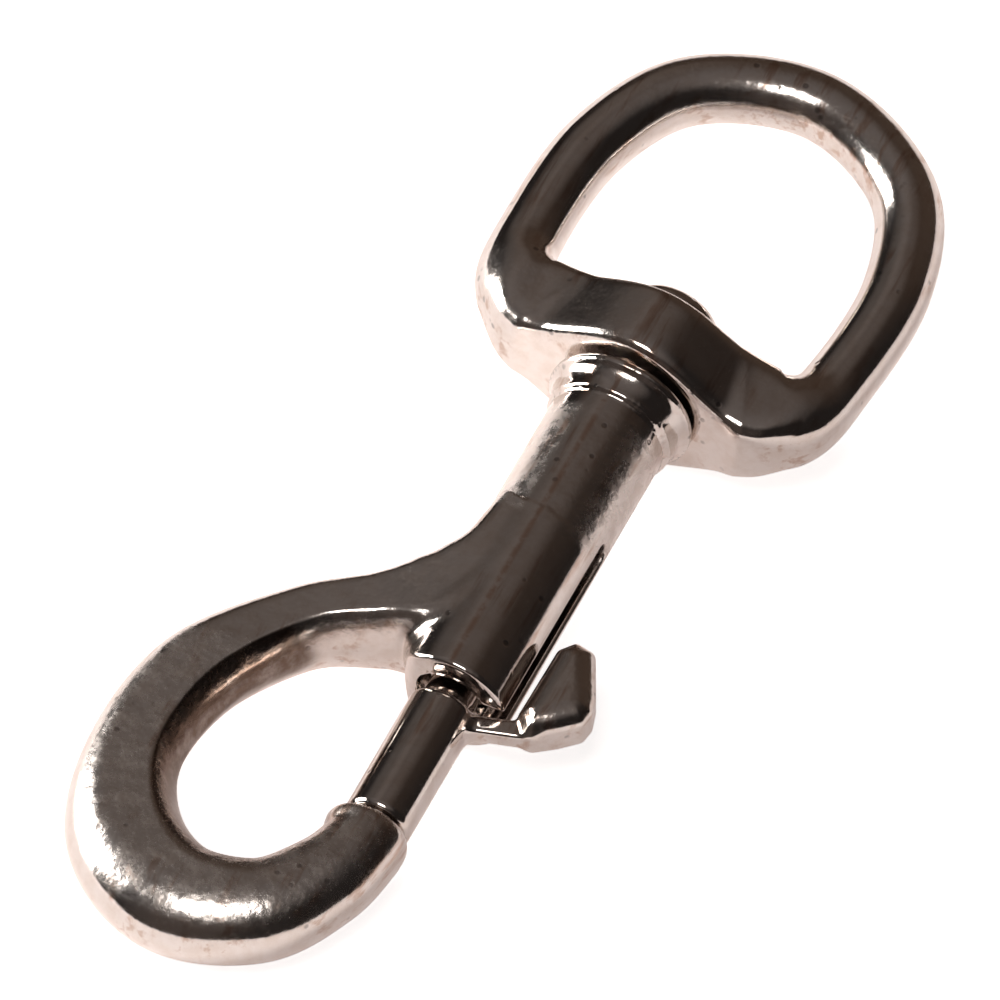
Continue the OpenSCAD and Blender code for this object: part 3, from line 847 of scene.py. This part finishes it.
# --------------------------------------------------------------- stage
TABLE_HALF = 4.0
TABLE_GAP = 0.02
PAPER_PALE, PAPER_FIBRE = (0.90, 0.86, 0.845), (0.88, 0.835, 0.82)
PAPER_NOISE = (700, 3)
WHITE, PINK = (1, 1, 1), (1.0, 0.83, 0.80)
GLOW_FOR_CAMERA, GLOW_FOR_METAL = 0.8, 0.3


def table_paper():
    """Pale table paper in the lamps' light, lifted to white for the camera and a
    little, in pink, for what the metal mirrors."""
    s = Sheet("table_paper")
    s.nodes.remove(s.shader)
    paper = s.nodes.new("ShaderNodeBsdfDiffuse")
    s.feed(paper.inputs["Color"], s.blend(s.noise(*PAPER_NOISE), PAPER_PALE, PAPER_FIBRE))
    path = s.nodes.new("ShaderNodeLightPath").outputs
    glow = s.nodes.new("ShaderNodeEmission")
    s.feed(glow.inputs["Color"], s.blend(path["Is Camera Ray"], PINK, WHITE))
    strength = s.math("ADD", s.math("MULTIPLY", path["Is Camera Ray"], GLOW_FOR_CAMERA),
                      s.math("MULTIPLY", path["Is Glossy Ray"], GLOW_FOR_METAL))
    s.feed(glow.inputs["Strength"], strength)
    both = s.nodes.new("ShaderNodeAddShader")
    s.feed(both.inputs[0], paper.outputs[0])
    s.feed(both.inputs[1], glow.outputs[0])
    s.feed(s.nodes["Material Output"].inputs["Surface"], both.outputs[0])
    return s.material


def table_top():
    """The table under the snap, tipped to touch the eye's boss and the hook's bowl."""
    boss_z = -(BOSS_HEIGHT + BAR_EXTRA + BAR_DROP)
    slope = math.atan2(boss_z + BOWL_THICK, BAR_MIDDLE - BOWL_X)
    corners = [(x * TABLE_HALF, y * TABLE_HALF, 0) for x, y in ((-1, -1), (1, -1), (1, 1), (-1, 1))]
    mesh = bpy.data.meshes.new("table")
    mesh.from_pydata(corners, [], [(0, 1, 2, 3)])
    mesh.materials.append(table_paper())
    table = bpy.data.objects.new("table", mesh)
    scene.collection.objects.link(table)
    table.rotation_euler = (0, -slope, 0)
    table.location = (BAR_MIDDLE * MM, 0, (boss_z - TABLE_GAP) * MM)
    return table


table = table_top()

# The dim room that the metal mirrors: direction, inner and outer angle, and colour
ROOM_DARK = (0.018, 0.015, 0.014)
ROOM_PATCHES = [
    (85, 15, 8, 55, (0.048, 0.030, 0.020)),
    (0, 90, 8, 50, (0.115, 0.098, 0.091)),
    (265, 30, 5, 45, (0.050, 0.038, 0.033)),
    (132, 42, 3, 28, (0.068, 0.058, 0.053)),
]


def room():
    """A dim room with soft brown patches, and white behind it for the camera."""
    scene.world = bpy.data.worlds.new("room")
    scene.world.use_nodes = True
    t = Tree(scene.world.node_tree)
    t.nodes.clear()
    place = t.nodes.new("ShaderNodeTexCoord").outputs["Generated"]
    total = ROOM_DARK
    for azimuth, elevation, inner, outer, colour in ROOM_PATCHES:
        toward = t.vector("DOT_PRODUCT", place, direction(azimuth, elevation))
        share = t.step(toward, math.cos(math.radians(outer)), math.cos(math.radians(inner)))
        total = t.vector("ADD", total, t.vector("SCALE", colour, share))
    dim = t.nodes.new("ShaderNodeBackground")
    t.feed(dim.inputs["Color"], total)
    white = t.nodes.new("ShaderNodeBackground")
    t.feed(white.inputs["Color"], (*WHITE, 1))
    mix = t.nodes.new("ShaderNodeMixShader")
    t.feed(mix.inputs["Fac"], t.nodes.new("ShaderNodeLightPath").outputs["Is Camera Ray"])
    t.feed(mix.inputs[1], dim.outputs[0])
    t.feed(mix.inputs[2], white.outputs[0])
    t.feed(t.nodes.new("ShaderNodeOutputWorld").inputs["Surface"], mix.outputs[0])


LAMP_COLOUR = (1, 0.96, 0.93)
LAMPS_AIM = Vector((-0.03, 0.003, 0))


def soft_lamp(name, azimuth, elevation, distance, width, height, power):
    """A soft rectangular lamp that faces the snap and that the camera doesn't see."""
    away = direction(azimuth, elevation)
    data = bpy.data.lights.new(name, "AREA")
    data.shape = "RECTANGLE"
    data.size, data.size_y = width, height
    data.energy = power
    data.color = LAMP_COLOUR
    lamp = bpy.data.objects.new(name, data)
    scene.collection.objects.link(lamp)
    lamp.location = LAMPS_AIM + away * distance
    lamp.rotation_euler = away.to_track_quat("Z", "Y").to_euler()
    lamp.visible_camera = False


room()
soft_lamp("key", 275, 68, 1.0, 0.36, 0.36, 2.8)
soft_lamp("window", 185, 18, 0.5, 0.30, 0.38, 5.4)
